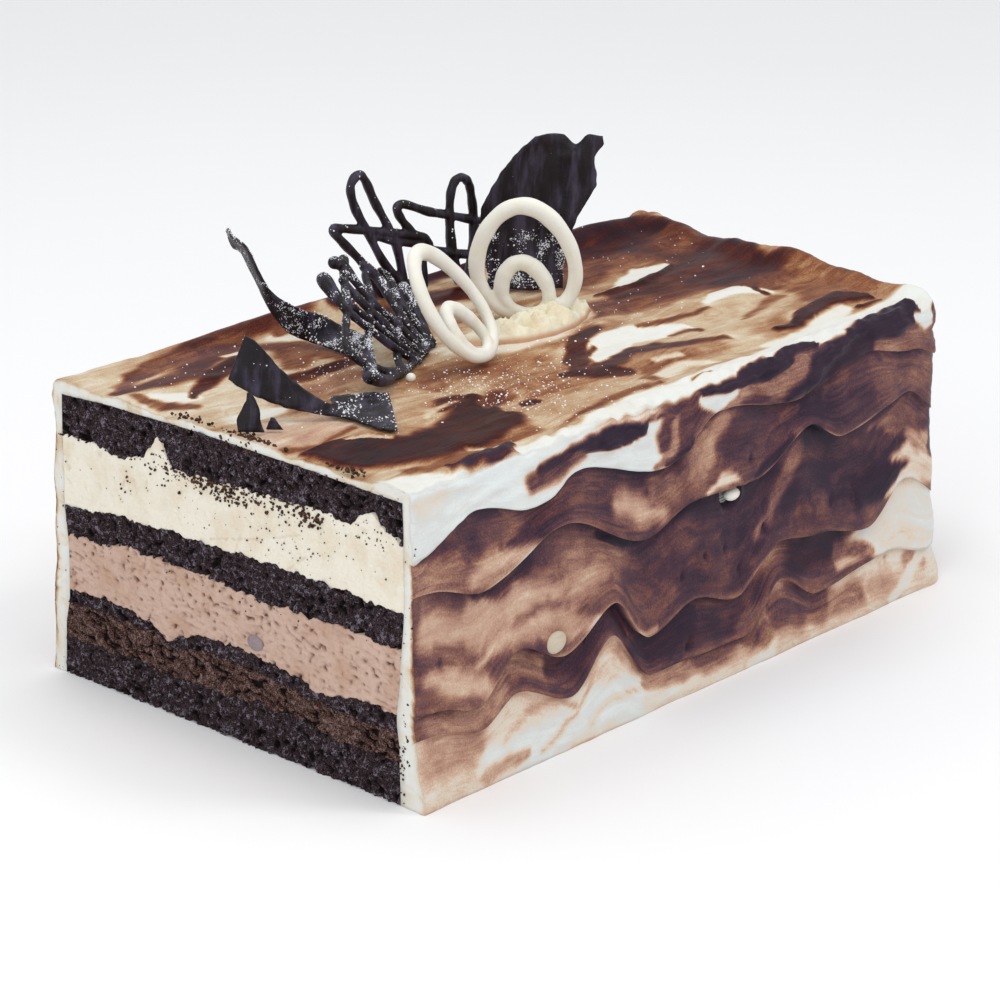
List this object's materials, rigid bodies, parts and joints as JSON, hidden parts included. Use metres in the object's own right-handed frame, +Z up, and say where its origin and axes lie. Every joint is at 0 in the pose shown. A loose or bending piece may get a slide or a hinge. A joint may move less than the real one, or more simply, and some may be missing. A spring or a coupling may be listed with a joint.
{
  "type": "chocolate cake",
  "caption": "Cut chocolate layer cake bar with marbled icing, bare layered cut face and chocolate ornaments.",
  "frame": {"origin": "centre of the flat underside, where the cake rests", "axes": "+X along the bar from the cut face to the far end, +Y towards the back long side, +Z up"},
  "size_m": [0.2275, 0.1276, 0.1239],
  "materials": {
    "icing": "soft satin marbled chocolate and cream icing",
    "sponge": "matt open chocolate crumb",
    "cream": "satin whipped cream",
    "mousse": "satin airy milk chocolate mousse",
    "truffle": "matt dark truffle crumb",
    "dark_chocolate": "satin dark chocolate",
    "white_chocolate": "satin white chocolate"
  },
  "bodies": {
    "root": {"sponge_base": "sponge", "truffle_layer": "truffle", "sponge_thin": "sponge", "mousse_layer": "mousse", "sponge_middle": "sponge", "cream_layer": "cream", "sponge_top": "sponge", "icing_coat": "icing", "cream_dab": "cream", "loop_upright": "white_chocolate", "loop_leaning": "white_chocolate", "lattice_front": "dark_chocolate", "lattice_back": "dark_chocolate", "shard_tall": "dark_chocolate", "shard_curl": "dark_chocolate", "shard_fan": "dark_chocolate", "shard_chip": "dark_chocolate", "shard_chip_small": "dark_chocolate"}
  },
  "joints": []
}
